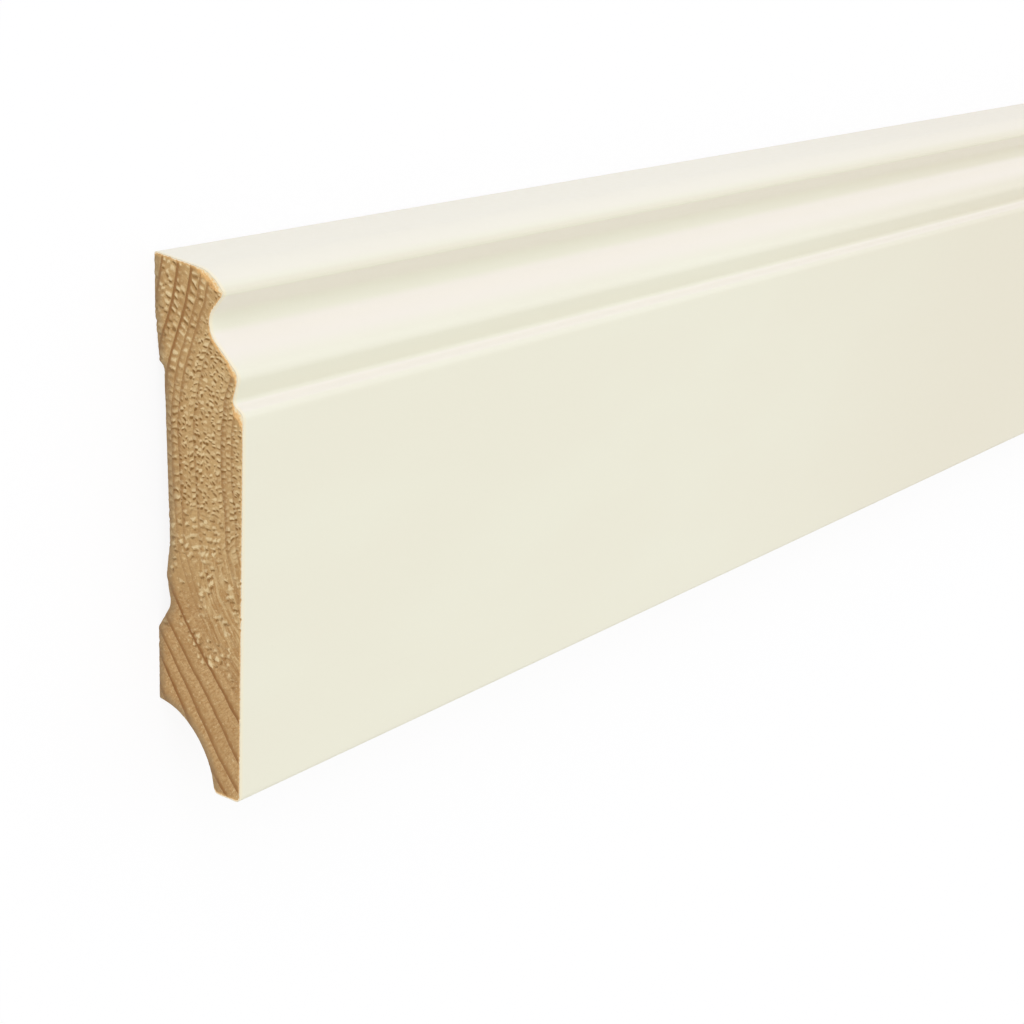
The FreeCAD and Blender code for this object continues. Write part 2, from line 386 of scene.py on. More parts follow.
def ladder(count, width, radius, arc, seed):
    """Wide chips between ring lines: how deep the pit is, and how strong the lip is; these also set
    their painted shadow and painted highlight.
    """
    ring, columns = np.floor(count), np.maximum(1, np.round(width / WIDE_CHIP))
    bend = BEND * smooth_noise(radius / BEND_WIDTH, arc / BEND_RUN, seed + 1)
    warp = WARP * smooth_noise(radius / WARP_WIDTH, arc / WARP_RUN, seed + 3)
    across = (count - ring) * columns + bend
    column, inside = np.floor(across) + COLUMNS * ring, across - np.floor(across)
    lean = RUNG_LEAN * (hashed(column, 0, seed + 2) - RUNG_LEVEL)
    start = START_SPREAD * hashed(column, 0, seed + 4)
    up = arc / WIDE_PITCH + start + lean * (inside - 0.5) + warp
    rung = np.floor(up)
    rise = up - rung
    tall, aside, force, paleness = (hashed(column, rung, seed + k) for k in range(5, 9))
    size = RUNG_LEAST + RUNG_MORE * tall
    middle = RUNG_LEFT + RUNG_STRAY * aside
    body = np.clip(RUNG_BODY - (np.abs(inside - middle) / RUNG_HALF) ** 2, 0, 1)
    pit = fall(np.abs(rise - size * 0.5), size * PIT_INSIDE, size * PIT_OUTSIDE) * body
    lip = ramp(rise, size * LIP_AT, size * LIP_AT + LIP_RISE) * fall(rise, *LIP_END)
    lip = lip * (LIP_LEAST + LIP_MORE * paleness) * ramp(body, *RUNG_SOUND)
    return pit * ramp(force, *PIT_RARE), lip


class SawnEnd:
    """Relief, tones with painted shading of the chips, and kinds of cut of a sawn end."""

    def __init__(self, outline, end):
        self.outline = outline
        self.along, self.inwards, self.seed, self.patch = end

    def noise(self, back, height, width, rise, seed, layers):
        return layered_noise(back / width, height / rise, self.seed + seed, layers)

    def edges(self, back, height):
        """Gap in mm to the painted outline and to the bare one, and the rim's width there."""
        line = self.outline
        paint_gap, bare_gap = np.full(back.shape, np.inf), np.full(back.shape, np.inf)
        rim_width = np.full(back.shape, RIM_LEAST)
        for (px, py), bare, width in zip(line.points, line.bare, line.rim_width):
            gap = np.hypot(back - px, height - py)
            if bare:
                bare_gap = np.minimum(bare_gap, gap)
            else:
                rim_width = np.where(gap < paint_gap, width, rim_width)
                paint_gap = np.minimum(paint_gap, gap)
        return paint_gap, bare_gap, rim_width

    def zones(self, back, height, radius):
        """How much each kind of cut has its way at a place, from 0 to 1."""
        drift = ZONE_DRIFT * self.noise(back, height, *ZONE_NOISE)
        back, height = back + drift, height + drift
        wide = ramp(height, *WIDE_HEIGHT) * ramp(radius, *WIDE_RADIUS)
        coarse = band(height, *COARSE_HEIGHT) * fall(back, *COARSE_BACK)
        streaks = band(height, *STREAK_HEIGHT) * ramp(back, *STREAK_BACK)
        fine = ramp(height, *FINE_HEIGHT) * (1 - wide) * (1 - coarse)
        smooth = fall(height, *SMOOTH_HEIGHT) * (1 - STREAK_OVER_SMOOTH * streaks)
        return wide, coarse, fine, streaks, smooth

    def relief(self, back, height):
        """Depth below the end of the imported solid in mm, and the values that the finish reads."""
        radius, arc = growth(self.along, back, height)
        count, width, strength = rings(radius, height)
        share = count - np.floor(count)
        line = ramp((share - 1) * width, *LINE_AHEAD) * strength
        wide, coarse, fine, streaks, smooth = self.zones(back, height, radius)
        pit, lip = ladder(count, width, radius, arc, self.seed + LADDER_SEED)
        spots, pales = torn_cells(radius / COARSE_WIDTH, arc / COARSE_PITCH, self.seed + COARSE_SEED)
        patch = ramp(self.noise(back, height, *PATCH_NOISE), *SCATTER_PATCH)
        scatter = band(height, *SCATTER_HEIGHT) * patch
        calm = CALM_LEAST + CALM_MORE * ramp(self.noise(back, height, *CALM_NOISE), *CALM_PATCH)
        clear = (1 - ramp(line, *LINE_CLEAR)) * ramp(share * width, *LINE_PAST)
        wide, coarse = wide * calm * clear, np.maximum(coarse, scatter) * clear
        fray = self.noise(back, height, *FRAY_NOISE)
        depth = wide * (WIDE_PIT * pit - WIDE_LIP * lip)
        depth = depth + coarse * (COARSE_PIT * spots - COARSE_LIP * pales)
        depth = depth - LINE_PROUD * line + FRAY_DEPTH * fray
        # Painted highlight on the chips' lips and painted shadow in their pits, with the fray's random
        # tone.
        tone_and_shading = wide * (lip - WIDE_SHADOW * pit) + coarse * (COARSE_LIT * pales - COARSE_SHADOW * spots)
        tone_and_shading = tone_and_shading + FRAY_TONE * fray
        paint_gap, bare_gap, rim_width = self.edges(back, height)
        rim = fall(paint_gap / rim_width, *RIM_INSIDE)
        depth = depth - rim * (RIM_PROUD + RIM_UNEVEN * self.noise(back, height, *WEAR_NOISE))
        depth = depth + WORN_DEPTH * fall(bare_gap, *WORN_EDGE)
        looks = dict(tone_and_shading=tone_and_shading * (1 - RIM_CALM * rim), paint_gap=paint_gap, bare_gap=bare_gap,
                     rim_width=rim_width, scales=fine, streaks=streaks, smooth_cut=smooth, sawn=1.0)
        return depth + CUT_BACK, looks

    def arris(self):
        """How far in the nicks reach along the outline, and the values that the finish reads."""
        depth, looks = self.relief(*self.outline.points.T)
        nick = layered_noise(self.outline.run / NICK_RUN, 0.0, self.seed + NICK_SEED)
        ragged = np.clip(ARRIS_SHARE * depth + NICK_DEPTH * np.maximum(nick, 0), 0.0, NICK_MOST)
        looks["tone_and_shading"] = 0.0
        return ragged, looks


def stations():
    """Distances from the near end along the stick, close together by both ends."""
    near = np.append(0.0, np.cumsum(FIRST_STEP * STEP_GROWTH ** np.arange(END_STEPS)))
    span = LENGTH - 2 * near[-1]
    middle = np.linspace(near[-1], LENGTH - near[-1], 2 + round(span / LAST_STEP))
    return np.concatenate([near, middle[1:-1], (LENGTH - near)[::-1]])


def in_scene(name, data):
    made = bpy.data.objects.new(name, data)
    bpy.context.scene.collection.objects.link(made)
    return made


def to_frame(along, back, height):
    return np.stack([(along - LENGTH / 2) * MM, (height - HEIGHT / 2) * MM, back * MM], -1)


def on_map(patch, across, up):
    """A place on the bake map, from shares of the way across and up a patch."""
    left, width, low, height = patch
    return (left + width * across, low + height * up)


def grid_inside(outline, seed):
    """Places of a slightly uneven grid that lie inside the outline and clear of it."""
    backs = np.arange(0, THICKNESS, END_GRID)
    heights = np.arange(0, HEIGHT, END_GRID * math.sqrt(3) / 2)
    x, y = np.meshgrid(backs, heights)
    i, j = np.meshgrid(np.arange(len(backs)), np.arange(len(heights)))
    uneven = END_GRID * GRID_UNEVEN
    x = (x + j % 2 * END_GRID / 2 + uneven * (hashed(i, j, seed) - 0.5)).ravel()
    y = (y + uneven * (hashed(i, j, seed + 1) - 0.5)).ravel()
    inside, gap = np.zeros(x.shape, bool), np.full(x.shape, np.inf)
    for (x0, y0), (x1, y1) in zip(outline.points, np.roll(outline.points, -1, 0)):
        if y1 != y0:
            inside ^= ((y0 > y) != (y1 > y)) & (x < (x1 - x0) * (y - y0) / (y1 - y0) + x0)
        gap = np.minimum(gap, np.hypot(x - x0, y - y0))
    keep = inside & (gap > EDGE_GAP)
    return np.stack([x[keep], y[keep]], -1)


class BoardMesh:
    """Collects the skin and both ends as one closed mesh with its attributes and bake map."""

    def __init__(self):
        self.outline = Outline()
        self.count = len(self.outline.points)
        self.ends = [SawnEnd(self.outline, end) for end in (NEAR_END, FAR_END)]
        self.places, self.values, self.faces, self.materials, self.uvs = [], [], [], [], []

    def add_points(self, along, back, height, **values):
        """Adds points with their values, and gives the number of the first."""
        first = sum(len(places) for places in self.places)
        self.places.append(to_frame(along, back, height))
        radius, arc = growth(along, back, height)
        count, width, strength = rings(radius, height)
        values.update(ring_count=count, ring_width=width, ring_strength=strength,
                      ring_radius=radius, ring_round=arc)
        self.values.append(values)
        return first

    def add_face(self, corners, material, uvs):
        self.faces.append(corners)
        self.materials.append(material)
        self.uvs.extend(uvs)

    def add_skin(self):
        """The long faces, from the ragged arris of one sawn end to that of the other."""
        line, along = self.outline, stations()
        arrises = [end.arris() for end in self.ends]
        rows = []
        for k, at in enumerate(along):
            from_end = min(k, len(along) - 1 - k)
            far = k >= len(along) / 2
            ragged, looks = arrises[far]
            shift = self.ends[far].inwards * ragged * max(0.0, 1 - from_end / RAGGED_ROWS)
            if from_end:
                looks = dict(paint_gap=CLEAR, bare_gap=CLEAR, rim_width=line.rim_width)
            rows.append(self.add_points(at + shift, *line.points.T, past_paint=line.past_paint, **looks))
        for k in range(len(along) - 1):
            low, high = along[k] / LENGTH, along[k + 1] / LENGTH
            for i in range(self.count):
                j = (i + 1) % self.count
                corners = (rows[k] + i, rows[k] + j, rows[k + 1] + j, rows[k + 1] + i)
                places = ((i, low), (i + 1, low), (i + 1, high), (i, high))
                uvs = [on_map(SKIN_PATCH, line.shares[n], up) for n, up in places]
                self.add_face(corners, BARE if line.bare[i] and line.bare[j] else COATED, uvs)
        return rows[0], rows[-1]

    def add_end(self, sawn, arris):
        """One sawn end, joined to the skin at the points of its arris."""
        inner = grid_inside(self.outline, sawn.seed + GRID_SEED)
        flat = [Vector(place) for place in (*self.outline.points, *inner)]
        edges = [(i, (i + 1) % self.count) for i in range(self.count)]
        places, _, faces, sources, _, _ = delaunay_2d_cdt(flat, edges, [], 1, MERGE_GAP)
        depth, looks = sawn.relief(*inner.T)
        along = sawn.along + sawn.inwards * depth
        first = self.add_points(along, *inner.T, past_paint=CLEAR, **looks)
        numbers = [arris + k if k < self.count else first + k - self.count for k, *_ in sources]
        for face in faces:
            face = face[::-sawn.inwards]
            uvs = [on_map(sawn.patch, places[v].x / THICKNESS, places[v].y / HEIGHT) for v in face]
            self.add_face([numbers[v] for v in face], BARE, uvs)

    def build(self, name, materials):
        arrises = self.add_skin()
        for sawn, arris in zip(self.ends, arrises):
            self.add_end(sawn, arris)
        mesh = bpy.data.meshes.new(name)
        mesh.from_pydata(np.concatenate(self.places).tolist(), [], self.faces)
        for material in materials:
            mesh.materials.append(material)
        mesh.polygons.foreach_set("material_index", self.materials)
        mesh.shade_smooth()
        for attribute in self.values[0]:
            layer = mesh.attributes.new(attribute, "FLOAT", "POINT")
            parts = [np.broadcast_to(values.get(attribute, 0.0), len(places))
                     for values, places in zip(self.values, self.places)]
            layer.data.foreach_set("value", np.concatenate(parts).astype(np.float32))
        uv = mesh.uv_layers.new(name="OFBake")
        uv.data.foreach_set("uv", np.array(self.uvs, np.float32).ravel())
        mesh.validate()
        mesh.update()
        self.mark_sharp(mesh, arrises)
        return in_scene(name, mesh)

    def mark_sharp(self, mesh, arrises):
        """The saw cuts leave the arrises at both ends sharp."""
        pairs = np.zeros(len(mesh.edges) * 2, np.int32)
        mesh.edges.foreach_get("vertices", pairs)
        pairs = pairs.reshape(-1, 2)
        near, far = (((pairs >= first) & (pairs < first + self.count)).all(1) for first in arrises)
        mesh.attributes.new("sharp_edge", "BOOLEAN", "EDGE").data.foreach_set("value", near | far)


# How a screen turns values into light: a straight start, and a power past its knee.
SCREEN_SLOPE, SCREEN_KNEE, SCREEN_LIFT, SCREEN_POWER = 12.92, 0.04045, 0.055, 2.4


def linear(red, green, blue):
    """A screen colour as the shader wants it."""
    out = []
    for value in (red, green, blue):
        v = value / 255
        bent = ((v + SCREEN_LIFT) / (1 + SCREEN_LIFT)) ** SCREEN_POWER
        out.append(v / SCREEN_SLOPE if v <= SCREEN_KNEE else bent)
    return (*out, 1.0)


# Most of the values that a noise has, and nearly all of them.
MOST, NEARLY_ALL = (0.3, 0.7), (0.2, 0.8)


def working(operation):
    """A method that adds a Math node."""
    return lambda field, *others: field.nodes.maths(operation, field, *others)


class Field:
    """A node's output, which stands in formulas like a number and adds nodes that work them out."""

    __add__, __sub__ = working("ADD"), working("SUBTRACT")
    __mul__, __truediv__ = working("MULTIPLY"), working("DIVIDE")
    __abs__, floor, fraction = working("ABSOLUTE"), working("FLOOR"), working("FRACT")
    at_least, at_most = working("MAXIMUM"), working("MINIMUM")

    def __init__(self, nodes, socket):
        self.nodes, self.socket = nodes, socket

    def __rsub__(self, other):
        return self.nodes.maths("SUBTRACT", other, self)

    def ramp(self, low, high, at_low=0.0, at_high=1.0):
        return self.nodes.field(0, "MapRange", (self, low, high, at_low, at_high),
                                interpolation_type="SMOOTHSTEP")

    def fall(self, low, high, share=1.0):
        return self.ramp(low, high, share, 0.0)

    def band(self, start, full, last, end, share=1.0):
        """Rises to this share between start and full, and falls again from last to end."""
        return self.ramp(start, full, 0.0, share) * self.fall(last, end)

    def between(self, at_none, at_full):
        """From one value to the other as the field goes from 0 to 1."""
        return self.ramp(0.0, 1.0, at_none, at_full)

    def swing(self, by, span=NEARLY_ALL):
        """A noise as a shift of up to this much either way."""
        return self.ramp(*span, -by, by)


class Nodes:
    """Adds nodes to a tree. A socket takes a number, a colour or a field."""

    def __init__(self, tree):
        self.tree = tree

    def feed(self, socket, source):
        if isinstance(source, Field):
            self.tree.links.new(source.socket, socket)
        else:
            socket.default_value = source

    def node(self, kind, sockets, **settings):
        """A new node, with what its sockets take, in order or by name or number."""
        made = self.tree.nodes.new("ShaderNode" + kind)
        for name, value in settings.items():
            setattr(made, name, value)
        for key, source in sockets.items() if isinstance(sockets, dict) else enumerate(sockets):
            self.feed(made.inputs[key], source)
        return made

    def field(self, output, kind, sockets, **settings):
        return Field(self, self.node(kind, sockets, **settings).outputs[output])

    def parts(self, source, kind="SeparateXYZ"):
        """The three parts of a vector or a colour."""
        return [Field(self, part) for part in self.node(kind, [source]).outputs]

    def attribute(self, name):
        return self.field("Fac", "Attribute", (), attribute_name=name)

    def maths(self, operation, *sources):
        return self.field(0, "Math", sources, operation=operation)

    def mix(self, factor, low, high, blend="MIX"):
        return self.field(2, "Mix", {0: factor, 6: low, 7: high}, data_type="RGBA", blend_type=blend)

    def layered(self, colour, *layers):
        """The colour with screen colours laid over it in turn, each with its share."""
        for share, tint in layers:
            colour = self.mix(share, colour, linear(*tint))
        return colour

    def place(self, output="Object"):
        return self.field(output, "TexCoord", ())

    def scaled_place(self, x, y, z):
        """Places on the board in mm, stretched by these shares."""
        sockets = {"Vector": self.place(), "Scale": (x / MM, y / MM, z / MM)}
        return self.field("Vector", "Mapping", sockets)

    def noise(self, place, detail, roughness):
        sockets = {"Vector": place, "Scale": 1.0, "Detail": detail, "Roughness": roughness}
        return self.field("Fac", "TexNoise", sockets)

    def pattern(self, x, y, z, detail=2.0, roughness=0.5):
        return self.noise(self.scaled_place(x, y, z), detail, roughness)

    def finish(self, colour, roughness, specular, *bumps):
        """The surface's shader. Each bump has its height, its depth in mm and its strength."""
        surface = {"Base Color": colour, "Roughness": roughness, "Specular IOR Level": specular}
        under = {}
        for height, depth, strength in bumps:
            sockets = {"Strength": strength, "Distance": depth * MM, "Height": height, **under}
            under = {"Normal": self.field("Normal", "Bump", sockets)}
        shader = self.field("BSDF", "BsdfPrincipled", {**surface, **under})
        self.node("OutputMaterial", {"Surface": shader})


def new_material(paint):
    """A material under the name of the function that paints it."""
    material = bpy.data.materials.new(paint.__name__)
    material.use_nodes = True
    material.node_tree.nodes.clear()
    paint(Nodes(material.node_tree))
    return material


# The coat. Colours are written as 0 to 255 screen values.
COAT = (231, 229, 208)
# Painted shade: the coat darker and warmer in slow patches from about 0.1 m in from the ends, where the
# light falls off.
COAT_FALLOFF_SHADE = (226, 221, 199)
COAT_PALE = (232, 231, 210)
COAT_EDGE = (250, 233, 198)
COAT_PAINTED_LIGHT = (236, 231, 218)  # painted highlight on the moulding, and painted light in its shade
COAT_TIP_SHADE = (223, 218, 194)  # painted shade over the nose's tip, where it turns from the light
COAT_FRAYED = (242, 228, 186)  # over the last millimetre by a sawn end
# Limits of ramps and falls, in m from an end or as values of a noise, and the shares there.
FRAYED, FALLOFF = (0.0, 0.0008, 0.55), (0.10, 0.23)
FALLOFF_PATCH, PALE = (0.3, 0.6, 0.7, 1.0), (0.4, 0.7, 0.0, 0.7)
# Bands of the moulding, in mm above the middle of the height: start, full, last full, end, share.
# Painted light on the moulding: painted highlight on the bead, in the ogee and on the nose, and painted
# light that lifts the shade in the undercut.
PAINTED_LIGHT_BANDS = ((21.7, 22.1, 22.5, 22.9, 0.9), (27.3, 29.5, 30.8, 32.0, 1.0),
               (33.2, 35.0, 36.8, 37.2, 0.75), (38.2, 39.0, 41.0, 42.0, 0.45))
# Painted shade over the nose's tip: start, full, last full, end, share.
TIP_SHADE_BAND = (37.2, 37.5, 37.8, 38.4, 0.6)
# A noise over the board is its scales along, up and through it in 1/mm, and its detail and
# roughness, where they aren't 2 and 0.5.
CLOUD, SLOW_CLOUD = (0.03, 0.06, 0.06), (0.004, 0.012, 0.012, 1.0)
PEEL, DRAWN, NIBS = (0.6, 0.9, 0.9, 3.0, 0.6), (0.02, 3.0, 3.0), (1.6, 1.6, 1.6, 1.0)
NIB_SPAN, NIB_ROUGH = (0.74, 0.80), 0.1
COAT_ROUGH, COAT_SPECULAR = (0.34, 0.42), 0.5
# A bump is its depth in mm and its strength.
DRAWN_BUMP, PEEL_BUMP, NIB_BUMP = (0.02, 0.5), (0.03, 0.6), (0.02, 0.6)


def cream_lacquer(n):
    along, up, _ = n.parts(n.place())
    from_end, up = LENGTH / 2 * MM - abs(along), up / MM
    # Painted shade where the light falls off along the board.
    falloff_shade = from_end.ramp(*FALLOFF) * n.pattern(*SLOW_CLOUD).ramp(*FALLOFF_PATCH)
    colour = n.layered(
        linear(*COAT),
        (n.pattern(*CLOUD).ramp(*PALE), COAT_PALE),
        (falloff_shade, COAT_FALLOFF_SHADE),
        # Painted highlight, and painted light in the undercut's shade, band by band up the moulding.
        *((up.band(*band), COAT_PAINTED_LIGHT) for band in PAINTED_LIGHT_BANDS),
        (up.band(*TIP_SHADE_BAND), COAT_TIP_SHADE),
        (from_end.fall(*FRAYED), COAT_FRAYED),
    )
    peel, drawn = n.pattern(*PEEL), n.pattern(*DRAWN)
    nibs = n.pattern(*NIBS).ramp(*NIB_SPAN)
    roughness = peel.ramp(*MOST, *COAT_ROUGH) + nibs * NIB_ROUGH
    n.finish(colour, roughness, COAT_SPECULAR,
             (drawn, *DRAWN_BUMP), (peel, *PEEL_BUMP), (nibs, *NIB_BUMP))


# The bare wood.
WOOD_EARLY = (219, 184, 130)
WOOD_BODY = (205, 168, 112)
WOOD_TORN = (213, 180, 122)
WOOD_AHEAD = (186, 147, 93)
WOOD_LINE = (152, 105, 55)
WOOD_STREAK = (174, 126, 68)
# Pale torn wood, streaks and specks, and the painted highlight on chip lips.
CHIP_PALE_AND_LIT = (240, 217, 165)
# Painted shadow in the pits of torn chips.
PIT_SHADOW = (138, 99, 46)
RIM_PALE = (255, 240, 200)
RIM_GOLD = (253, 210, 142)
RIM_ORANGE = (236, 186, 118)
# Painted shade along the bare edges of a sawn end, where it rounds away from the light.
EDGE_SHADE = (152, 130, 97)
# Noises over the board, as for the coat.
WOBBLE, FIBRE = (0.02, 0.9, 0.9), (0.012, 2.2, 2.2, 4.0, 0.65)
GRAIN, PATCHES = (0.05, 5.0, 5.0, 3.0, 0.7), (0.004, 0.10, 0.10)
BLOTCHES, SCALE_PATCHES = (0.01, 0.32, 0.42, 2.0, 0.6), (0.4, 0.4, 0.4)
RIM_HAIR, MIST = (1.2, 2.4, 2.4, 3.0, 0.6), (0.35, 1.4, 1.4, 4.0, 0.65)
# A noise along the rings is its scales across and round them in 1/mm, and its detail and
# roughness, where they aren't 1 and 0.5.
LAYERS, STREAKS = (2.4, 0.67, 3.0, 0.6), (1.45, 0.26, 3.0, 0.6)
HAIRS, SPECKS = (0.9, 3.4, 3.0, 0.65), (1.9, 2.4)
COLUMN_BEND, RUNG_SWAY, SPOT_BEND, ALONG_SCALE = (0.9, 0.8), (0.65, 0.5), (0.5, 0.45), 0.02
# Ring lines, and the wood that darkens ahead of them, in mm before the line.
LINE_WOBBLE, LINE_WHOLE, LINE_WIDTHS, AHEAD_SPAN = 0.15, 0.30, (0.80, 1.15), (0.5, 2.4)
# Fine scales in ladders, as shares of a column or rung.
SCALE_BEND, SCALE_SWAY, SCALE_LEAN, SCALE_LEVEL, START_ROW = 0.10, 0.25, 0.6, 0.4, 3.0
SCALE_LEAST, SCALE_MORE, SCALE_LEFT, SCALE_STRAY = 0.26, 0.20, 0.3, 0.4
SCALE_BODY, SCALE_PIT = (0.28, 0.55), (0.0, 0.35, 0.70, 1.10)
SCALE_LIP_START, SCALE_LIP_END = (0.90, 1.25), (0.55, 0.98)
SCALE_PIT_FORCE, SCALE_LIP_FORCE = (0.05, 0.6), (0.4, 1.0)
# Scattered small chips, as shares of a cell. An oval is its half width and half height.
SPOT_SHIFT, SPOT_STRAY, SPOT_LEAST, SPOT_MORE, SPOT_TAPER = 0.2, 0.95, 0.75, 0.5, 4.0
TAPER_LEAST, TAPER_MOST = 0.5, 1.6
PIT_DROP, PIT_OVAL, PIT_SPAN, PIT_FORCE = 0.26, (0.36, 0.25), (0.55, 1.20), (0.0, 0.3)
LIP_LIFT, LIP_OVAL, LIP_SPAN, LIP_FORCE = 0.16, (0.48, 0.30), (0.60, 1.15), (0.35, 1.0)
# Ladders stand past a line and in the narrow rings, in mm, and hardly any spots lie among them.
PAST_LINE, NARROW_RING, SPOTS_LOST = (0.8, 1.3), (2.4, 2.8), 0.9
SCALE_PATCH = (0.30, 0.55, 0.7, 1.0)
DARK_STREAK, PALE_STREAK, HAIR_SPAN, SPECK_SPAN = (0.49, 0.57), (0.40, 0.47), (0.36, 0.62), (0.60, 0.72)


class PineNodes(Nodes):
    """Adds the fields that the bare wood's colour and relief are made from."""

    def __init__(self, tree):
        super().__init__(tree)
        self.count, self.width, self.strength, self.radius, self.arc, self.sawn = (
            self.attribute(name) for name in ("ring_count", "ring_width", "ring_strength",
                                              "ring_radius", "ring_round", "sawn"))
        self.share, self.wobble = self.count.fraction(), self.pattern(*WOBBLE)

    def across_rings(self, per_radius, per_round):
        """A place as ring radius and distance round the ring, each at its own scale."""
        along, _, _ = self.parts(self.scaled_place(ALONG_SCALE, 1.0, 1.0))
        place = (self.radius * per_radius, self.arc * per_round, along)
        return self.field(0, "CombineXYZ", place)

    def drawn(self, per_radius, per_round, detail=1.0, roughness=0.5):
        return self.noise(self.across_rings(per_radius, per_round), detail, roughness)

    def ring_line(self):
        """The dark late wood, and the wood that darkens ahead of it."""
        to_line = (1.0 - self.share) * self.width + self.wobble.swing(LINE_WOBBLE)
        clear = self.attribute("smooth_cut").between(*LINE_WIDTHS)
        return (to_line.fall(*span) * self.strength for span in ((LINE_WHOLE, clear), AHEAD_SPAN))

    def scattered(self, x, y):
        """Three random values for each pair of whole numbers."""
        pair = self.field(0, "CombineXYZ", (x, y))
        noise = self.field("Color", "TexWhiteNoise", {"Vector": pair}, noise_dimensions="2D")
        return self.parts(noise, "SeparateColor")

    def ladder(self):
        """Columns of small chips between the ring lines, each a pit in painted shadow under a lip in
        painted highlight.
        """
        columns = self.maths("ROUND", self.width / SCALE_WIDTH).at_least(1.0)
        across = self.share * columns + self.drawn(*COLUMN_BEND).swing(SCALE_BEND)
        column, inside = across.floor() + self.count.floor() * COLUMNS, across.fraction()
        start, lean, _ = self.scattered(column, START_ROW)
        lean = (lean - SCALE_LEVEL) * (inside - 0.5) * SCALE_LEAN
        up = self.arc / SCALE_PITCH + start * START_SPREAD + lean
        up = up + self.drawn(*RUNG_SWAY).swing(SCALE_SWAY)
        rung, rise = up.floor(), up.fraction()
        size, middle, force = self.scattered(column, rung)
        size, middle = size * SCALE_MORE + SCALE_LEAST, middle * SCALE_STRAY + SCALE_LEFT
        body, within = abs(inside - middle).fall(*SCALE_BODY), rise / size
        pit = within.band(*SCALE_PIT)
        lip = within.ramp(*SCALE_LIP_START) * rise.fall(*SCALE_LIP_END)
        return pit * body * force.ramp(*SCALE_PIT_FORCE), lip * body * force.between(*SCALE_LIP_FORCE)

    def from_middle(self, x, y, wide, tall):
        """1 on the border of an oval of this half width and half height."""
        x, y = x / wide, y / tall
        return self.maths("SQRT", x * x + y * y)

    def spots(self):
        """Small chips scattered evenly, each a pit in painted shadow under a lip in painted highlight.
        """
        bend = self.drawn(*SPOT_BEND).swing(SPOT_SHIFT)
        place = (self.across_rings(1 / SPOT_WIDTH, 1 / SPOT_PITCH), bend)
        place = self.field(0, "VectorMath", place, operation="ADD")
        cell = self.node("TexVoronoi", {"Vector": place, "Scale": 1.0, "Randomness": SPOT_STRAY},
                         voronoi_dimensions="2D")
        middle, random = (Field(self, cell.outputs[name]) for name in ("Position", "Color"))
        offset = self.field(0, "VectorMath", (place, middle), operation="SUBTRACT")
        aside, above, _ = self.parts(offset)
        first, second, third = self.parts(random, "SeparateColor")
        size = first * SPOT_MORE + SPOT_LEAST
        x, y = aside / size, (above + (third - 0.5) * aside) / size
        taper = (second - 0.5) * x * SPOT_TAPER + 1.0
        taper = taper.at_least(TAPER_LEAST).at_most(TAPER_MOST)
        pit = self.from_middle(x, y + PIT_DROP, *PIT_OVAL).fall(*PIT_SPAN)
        lip = self.from_middle(x, (y - LIP_LIFT) / taper, *LIP_OVAL).fall(*LIP_SPAN)
        return pit * second.ramp(*PIT_FORCE), lip * (1.0 - pit) * third.between(*LIP_FORCE)

    def scales(self):
        """Ladders in the narrow rings and past each line, and scattered spots in the wide rings."""
        beside = (self.share * self.width).fall(*PAST_LINE).at_least(self.width.fall(*NARROW_RING))
        apart = 1.0 - beside * SPOTS_LOST
        patch = self.pattern(*SCALE_PATCHES).ramp(*SCALE_PATCH)
        cut = self.attribute("scales") * self.sawn * patch
        pit, lip = ((rung * beside).at_least(spot * apart) * cut
                    for rung, spot in zip(self.ladder(), self.spots()))
        return lip, pit

    def streaks(self):
        """Dark and pale streaks that follow the rings."""
        drawn, zone = self.drawn(*STREAKS), self.attribute("streaks")
        return drawn.ramp(*DARK_STREAK) * zone, drawn.fall(*PALE_STREAK) * zone

    def hatch(self):
        """Short hairs across the rings on the smooth cut, and small bright specks."""
        specks = self.drawn(*SPECKS).ramp(*SPECK_SPAN) * self.sawn
        return self.drawn(*HAIRS).ramp(*HAIR_SPAN), specks


# The rim along the coat's arris, as shares of its width: from its edge, pale, gold and orange.
HAIR_REACH, PALE_RIM, GOLD_RIM, ORANGE_RIM = 0.20, (0.05, 0.45), (0.30, 0.75), (0.55, 1.20)
GILT = (RIM_LEAST, RIM_LEAST + 0.3, 0.45, 1.0)
FILM, FILM_UNEVEN = (0.13, 0.312), 0.06  # lacquer seen edge on, in mm


def rimmed(n, colour):
    """Lifted fibres and lacquer along the arris of a sawn end, from cream to gold to the wood, with
    painted highlight where the rim is wide on arrises that face up.
    """
    hair, gap, width = n.pattern(*RIM_HAIR), n.attribute("paint_gap"), n.attribute("rim_width")
    rim = gap / width + hair.swing(HAIR_REACH, MOST)
    gilt = width.ramp(*GILT)
    film = gap + hair.swing(FILM_UNEVEN, MOST)
    return n.layered(
        colour,
        # Gold and orange grow with the rim's width, which is painted highlight on arrises that face up.
        (rim.fall(*ORANGE_RIM, gilt), RIM_ORANGE),
        (rim.fall(*GOLD_RIM, gilt), RIM_GOLD),
        (rim.fall(*PALE_RIM), RIM_PALE),
        (film.fall(*FILM), COAT_EDGE),
    )


